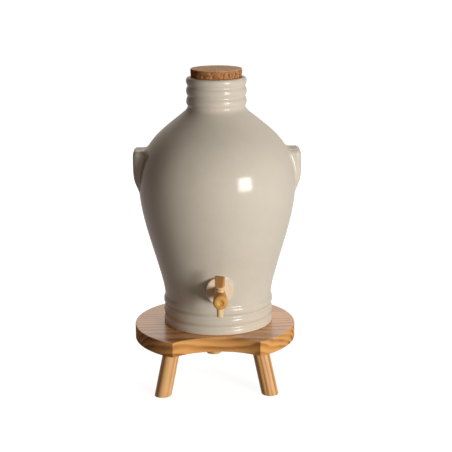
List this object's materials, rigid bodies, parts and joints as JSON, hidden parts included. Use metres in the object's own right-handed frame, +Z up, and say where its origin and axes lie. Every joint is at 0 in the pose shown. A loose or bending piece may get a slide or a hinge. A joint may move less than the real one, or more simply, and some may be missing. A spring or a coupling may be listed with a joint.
{
  "type": "vinegar crock",
  "caption": "Ringed stoneware vinegar crock with lug ears, a cork stopper and a turned wooden plug tap, standing on a round pine stool with splayed dowel legs.",
  "frame": {"origin": "middle of the whole object's box, on the floor under the stool's feet", "axes": "+Z up, -Y the way the tap points, +X to the right as seen from the tap's side"},
  "size_m": [0.2238, 0.2428, 0.4225],
  "materials": {
    "glazed_stoneware": "smooth satin-gloss putty-grey glaze",
    "cork": "ground agglomerated cork, matt",
    "pale_wood": "turned pale wood, bare",
    "honey_wood": "turned honey-coloured wood, satin varnish",
    "pine": "pine with strong growth rings, satin varnish"
  },
  "bodies": {
    "stool": {"stool_seat": "pine", "stool_leg_front_left": "pine", "stool_leg_front_right": "pine", "stool_leg_back": "pine"},
    "crock": {"crock_body": "glazed_stoneware", "ear_left": "glazed_stoneware", "ear_right": "glazed_stoneware", "tap_bush": "cork", "tap_collar": "pale_wood", "tap_barrel": "honey_wood"},
    "stopper": {"cork_stopper": "cork"},
    "key": {"tap_key": "honey_wood"}
  },
  "joints": [
    {"name": "crock_lift", "type": "slide", "parent": "stool", "child": "crock", "axis": [0, 0, 1], "range_m": [0, 0.15]},
    {"name": "stopper_lift", "type": "slide", "parent": "crock", "child": "stopper", "axis": [0, 0, 1], "range_m": [0, 0.06]},
    {"name": "key_turn", "type": "hinge", "parent": "crock", "child": "key", "pos_m": [0.0008, -0.09843, 0.145], "axis": [0, 0, 1], "continuous": true}
  ]
}
